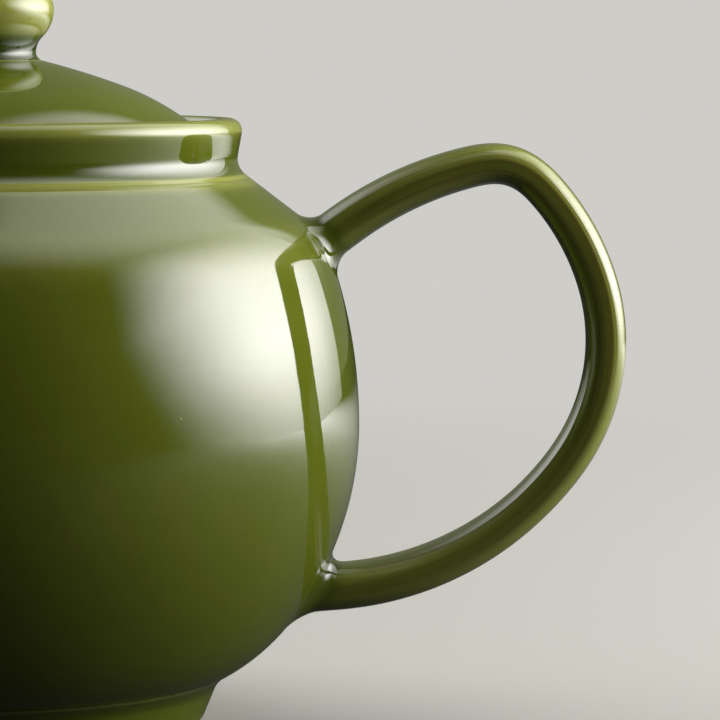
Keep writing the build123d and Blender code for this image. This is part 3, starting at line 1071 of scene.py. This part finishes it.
foot_glaze = bpy.data.materials.new("foot_glaze")
coat = Paint(foot_glaze)
place = coat.place()
height = coat.axes(place)[2]
ragged = height + (coat.noise(place, 3 * mm, 3.0) - 0.5) * (0.5 * mm)
glazed = ragged.between(0.10 * mm, 0.22 * mm)
rusty = ragged.between(0.2 * mm, 0.75 * mm)
grit = coat.noise(place, 0.7 * mm, 4.0, 0.65)
colour = coat.mix(rusty, (0.075, 0.032, 0.008, 1), glaze_colour(coat, place))
clay = coat.mix(grit.between(0.35, 0.7), (0.36, 0.27, 0.18, 1), bare_body)
normal, _ = glaze_face(coat, place)
sockets = {
    "Base Color": coat.mix(glazed, clay, colour),
    "Roughness": 0.8 - glazed * 0.76,
    "Normal": normal,
    "IOR": 1.6,
}
coat.finish(coat.node("ShaderNodeBsdfPrincipled", None, sockets).out())
foot_mesh = throw("foot", divided(foot_outline, 0.9 * mm), foot_glaze)
foot = show("foot_ring_thrown", pool_glaze(foot_mesh), "pot", "foot", "foot_ring")

# %% [markdown]
# ## The lid
# The lid is thrown upside down as a shallow dome, hollow underneath, with an upright edge that
# sits in the gallery. Its top is one wide arc beside the knob and a tighter one out to the rim.
# A small vent lets steam out. A cut made through the turned mesh would leave long crooked faces
# round it, which the gloss would show, so the mesh is opened and rings of faces are laid round the
# vent on the very same dome.

# %% Lid outline
lid_radius = lid_high.x
lid_top = lid_high.z
seat_radius = 11.9 * mm
crown_slope = radians(14)
crown_end = radians(14 + 6.4)
crown_round = 150 * mm
edge_round = 50 * mm
flange_low, flange_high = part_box("lid_flange")
flange_radius = flange_high.x
flange_bore = flange_radius - 3.4 * mm
crown = (seat_radius - crown_round * sin(crown_slope), lid_top - crown_round * cos(crown_slope))
edge_x = crown[0] + (crown_round - edge_round) * sin(crown_end)
edge_z = crown[1] + (crown_round - edge_round) * cos(crown_end)


def dome_height(reach, inset=0):
    """The height of the lid's top, or of its hollow, at a distance from the axis."""
    if reach < seat_radius - inset * sin(crown_slope):
        return lid_top - inset * cos(crown_slope)
    turn = asin((reach - crown[0]) / (crown_round - inset))
    if turn < crown_end:
        return crown[1] + (crown_round - inset) * cos(turn)
    return edge_z + sqrt((edge_round - inset) ** 2 - (reach - edge_x) ** 2)


def dome(inset, edge):
    """The outline of the dome from the axis out to a radius, moved down by inset."""
    count = ceil(edge / (0.9 * mm))
    return [(edge * i / count, dome_height(edge * i / count, inset)) for i in range(count + 1)]


lid_wall = 4 * mm
rim_start = lid_radius - 3 * mm
hollow = dome(lid_wall, flange_bore)
rim_corners = [
    (flange_bore, ledge_height, 0),
    (lid_radius, ledge_height, 1 * mm),
    (lid_radius, dome_height(lid_radius), 1 * mm),
    (rim_start, dome_height(rim_start), 0),
]
top = [p for p in dome(0, lid_radius) if p[0] < rim_start]
lid_outline = hollow + rounded(rim_corners, closed=False) + top[::-1]
lid_mesh = throw("lid", divided(lid_outline, 1 * mm), glaze)

# %% The vent
vent_radius = 1.6 * mm
vent_place = Vector((-24 * mm, 0))


def lay_rings(shape, top, widths):
    """Opens one face of the lid over the vent and lays rings of faces down to the hole's edge."""
    inset = 0 if top else lid_wall
    near = [
        face
        for face in shape.faces
        if (face.calc_center_median().xy - vent_place).length < 4 * mm
        and (face.normal.z > 0) == top
        and abs(face.calc_center_median().z - dome_height(-vent_place.x, inset)) < 2.5 * mm
    ]
    rim = {e for face in near for e in face.edges if sum(f in near for f in e.link_faces) == 1}
    loop = [next(iter(rim)).verts[0]]
    while len(loop) < len(rim):
        links = [e.other_vert(loop[-1]) for e in loop[-1].link_edges if e in rim]
        loop.append(links[0] if links[0] not in loop[-2:] else links[1])
    bmesh.ops.delete(shape, geom=near, context="FACES_ONLY")
    outer = loop
    for width, drop in widths:
        ring = []
        for vert in loop:
            spot = vent_place + (vert.co.xy - vent_place).normalized() * width
            height = dome_height(spot.length, inset) + (-drop if top else drop)
            ring.append(shape.verts.new((*spot, height)))
        for i in range(len(loop)):
            on = (i + 1) % len(loop)
            shape.faces.new((outer[i], outer[on], ring[on], ring[i]))
        outer = ring
    for stray in [v for v in shape.verts if not v.link_faces]:
        shape.verts.remove(stray)
    return [shape.edges.get((outer[i], outer[(i + 1) % len(outer)])) for i in range(len(outer))]


shape = bmesh.new()
shape.from_mesh(lid_mesh)
ease = 0.55 * mm
rings = [(w * mm, 0) for w in (3.7, 3.3, 2.9, 2.5)]
rings += [(vent_radius + ease * (1 - sin(t)), ease * (1 - cos(t))) for t in np.linspace(0, pi / 2, 7)]
edges = lay_rings(shape, True, rings)
edges += lay_rings(shape, False, rings)
bmesh.ops.bridge_loops(shape, edges=edges)
bmesh.ops.recalc_face_normals(shape, faces=shape.faces)
for face in shape.faces:
    face.smooth = True
shape.to_mesh(lid_mesh)
open_edges = sum(len(e.link_faces) != 2 for e in shape.edges)
print("lid with vent", len(shape.faces), "faces, open edges", open_edges)
shape.free()
lid = show("lid_dome", pool_glaze(lid_mesh), "lid", "glaze", "lid")

# %% [markdown]
# ## The knob
# The knob is thrown on top of the lid: a waisted neck, a full round head and a nearly flat top.
# Its outline is a chain of arcs. The lowest one is sized so that it just touches the dome, which
# is how a finger finishes that corner.

# %% Knob outline
neck_radius = 11.3 * mm
neck_height = lid_top + 1.5 * mm
low, high = 0.5 * mm, 6 * mm
for _ in range(50):
    corner_round = (low + high) / 2
    gap = hypot(neck_radius + corner_round - crown[0], neck_height - crown[1]) - crown_round
    low, high = (low, corner_round) if gap < corner_round else (corner_round, high)
corner = (neck_radius + corner_round, neck_height)
touch = atan2(crown[1] - corner[1], crown[0] - corner[0])
knob_outline = [(0, lid_top - 1.5 * mm), (corner[0] - 1.0 * mm, lid_top - 1.5 * mm)]
knob_outline += arc(corner, corner_round, touch + 2 * pi, pi)

neck_round, flare = 3.9 * mm, radians(46)
heading = pi / 2
place = (neck_radius, neck_height)
head_turn = radians(90 - 75)
head_radius = neck_radius + (neck_round + 7.4 * mm) * (1 - cos(flare)) - 4.5 * mm * (1 - sin(head_turn))
for radius, turn in (
    (neck_round, -flare),
    (7.4 * mm, flare),
    (4.5 * mm, radians(75)),
    (head_radius / sin(head_turn), head_turn),
):
    side = 1 if turn > 0 else -1
    middle = (place[0] - side * radius * sin(heading), place[1] + side * radius * cos(heading))
    start = heading - side * pi / 2
    points = arc(middle, radius, start, start + turn, 0.7 * mm)
    knob_outline += points[1:]
    place = points[-1]
    heading += turn
knob_outline[-1] = (0, knob_outline[-1][1])
knob_mesh = throw("knob", divided(knob_outline, 0.7 * mm), glaze)
knob = show("lid_knob", pool_glaze(knob_mesh), "lid", "glaze", "knob")
print("knob top in mm", round(place[1] / mm, 2), "corner round", round(corner_round / mm, 2))

# %% [markdown]
# ## The flange and the lug
# Under the lid a short upright wall drops into the mouth and keeps the lid in place. A lug on it
# passes the notch in the gallery, and turned away from it holds the lid while pouring. Both are
# left bare where they would rub or stick, so they show the clay: buff, dry, with fine grit and
# the rings of the wheel.

# %% Bare clay
bare = bpy.data.materials.new("dry_clay")
coat = Paint(bare)
place = coat.place()
cloud = coat.noise(place, 11 * mm, 3.0)
grit = coat.noise(place, 0.6 * mm, 4.0, 0.65)
speck = coat.node("ShaderNodeTexVoronoi", {"feature": "F1"}, {"Vector": place, "Scale": 1 / (1.9 * mm)})
dark = (1 - speck.out("Distance").between(0.08, 0.20)) * 0.7
colour = coat.mix(cloud.between(0.3, 0.7), (0.43, 0.33, 0.225, 1), bare_body)
colour = coat.mix(dark * cloud, colour, (0.10, 0.055, 0.025, 1))
height = coat.axes(place)[2]
groove = height.sum("SINE", height * (2 * pi / (0.9 * mm)))
sockets = {"Strength": 0.6, "Distance": 0.05 * mm, "Height": grit + groove * 0.25}
normal = coat.node("ShaderNodeBump", None, sockets).out()
sockets = {"Base Color": colour, "Roughness": grit * 0.15 + 0.72, "Normal": normal, "IOR": 1.45}
coat.finish(coat.node("ShaderNodeBsdfPrincipled", None, sockets).out())

flange_corners = [
    (flange_bore, flange_low.z, 1.3 * mm),
    (flange_radius, flange_low.z, 1.3 * mm),
    (flange_radius, flange_high.z + 0.2 * mm, 0),
    (flange_bore, flange_high.z + 0.2 * mm, 0),
]
flange_mesh = throw("flange", divided(rounded(flange_corners), 0.8 * mm), bare)
flange = show("flange_wall", flange_mesh, "lid", "bare_clay", "lid_flange")

# %% Lug
lug_size = (lug_high.x - lug_low.x + 1.2 * mm, lug_high.y - lug_low.y, lug_high.z - lug_low.z)
lug_middle = (lug_low.x + lug_size[0] / 2, 0, (lug_low.z + lug_high.z) / 2)
lug_shape = block(lug_size, lug_middle)
outer_edges = [e for e in lug_shape.edges if min(v.co.x for v in e.verts) < lug_low.x + 0.1 * mm]
shaping = {"segments": 6, "affect": "EDGES", "profile": 0.5, "clamp_overlap": True}
bmesh.ops.bevel(lug_shape, geom=outer_edges, offset=1.1 * mm, **shaping)
for face in lug_shape.faces:
    face.smooth = True
for edge in lug_shape.edges:
    edge.smooth = edge.calc_face_angle(0) < crisp_angle
lug_mesh = as_mesh(lug_shape, "lug")
lug_mesh.materials.append(bare)
lug = show("locking_lug", lug_mesh, "lid", "bare_clay", "lid_lug")
print("lug", len(lug_mesh.polygons), "faces")
